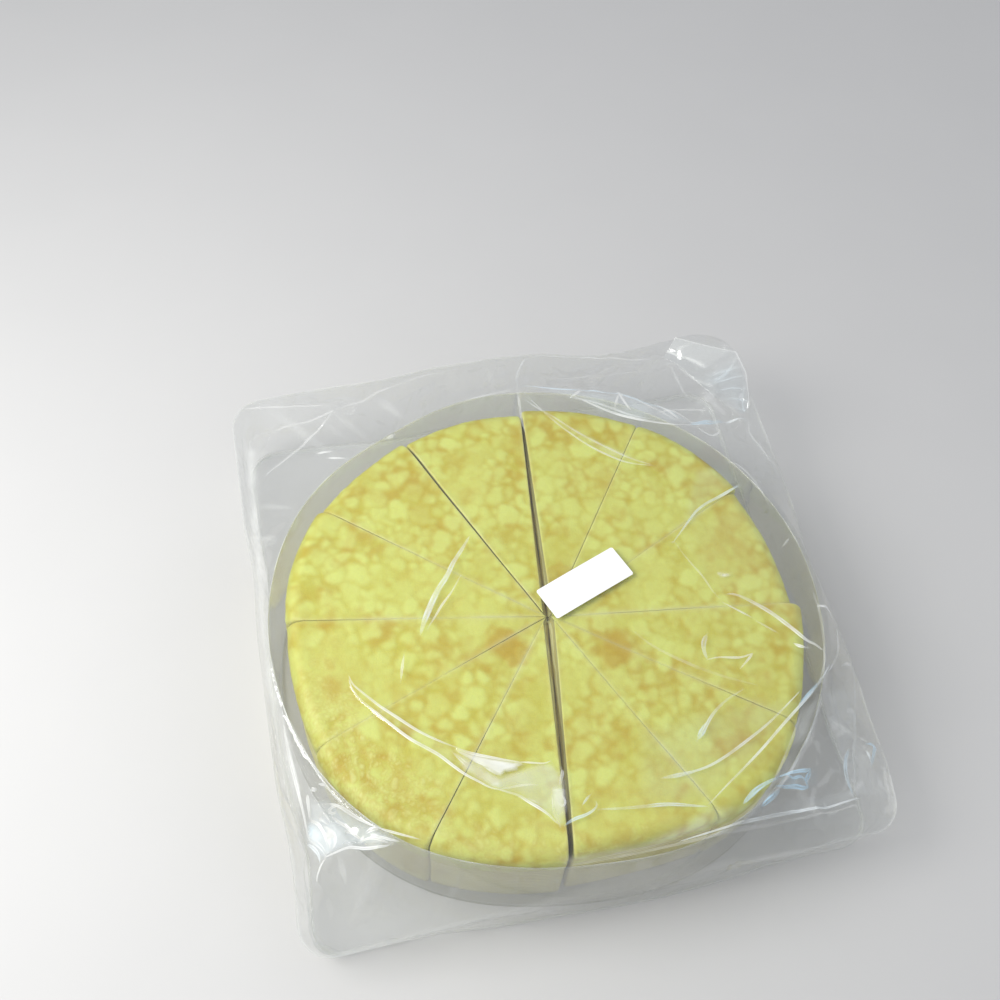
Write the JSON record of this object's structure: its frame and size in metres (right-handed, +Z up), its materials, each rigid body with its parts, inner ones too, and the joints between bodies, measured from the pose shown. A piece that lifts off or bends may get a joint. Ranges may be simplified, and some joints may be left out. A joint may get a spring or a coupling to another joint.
{
  "type": "crepe cake",
  "caption": "Round mille crepe cake cut into even slices, kept round by a clear upright collar and sealed in a clear film bag, with a small blank label",
  "frame": {"origin": "middle of the bag's footprint, on the surface that the pack stands on", "axes": "+Z up; X across the bag, which is its shorter side; +Y from the bag's front, where the cake lies nearest its edge, to the back; -Y faces the viewer"},
  "size_m": [0.256, 0.265, 0.0588],
  "materials": {
    "crepe": "soft moist crepe, pale yellow with a golden net, satin",
    "collar": "thin clear plastic strip, glossy",
    "film": "clear thin plastic film, glossy, creased",
    "label": "matt white paper"
  },
  "bodies": {
    "root": {"slice_right_1": "crepe", "slice_right_2": "crepe", "slice_right_3": "crepe", "slice_right_4": "crepe", "slice_right_5": "crepe", "slice_right_6": "crepe", "slice_left_1": "crepe", "slice_left_2": "crepe", "slice_left_3": "crepe", "slice_left_4": "crepe", "slice_left_5": "crepe", "slice_left_6": "crepe", "collar": "collar", "bag": "film", "label": "label"}
  },
  "joints": []
}
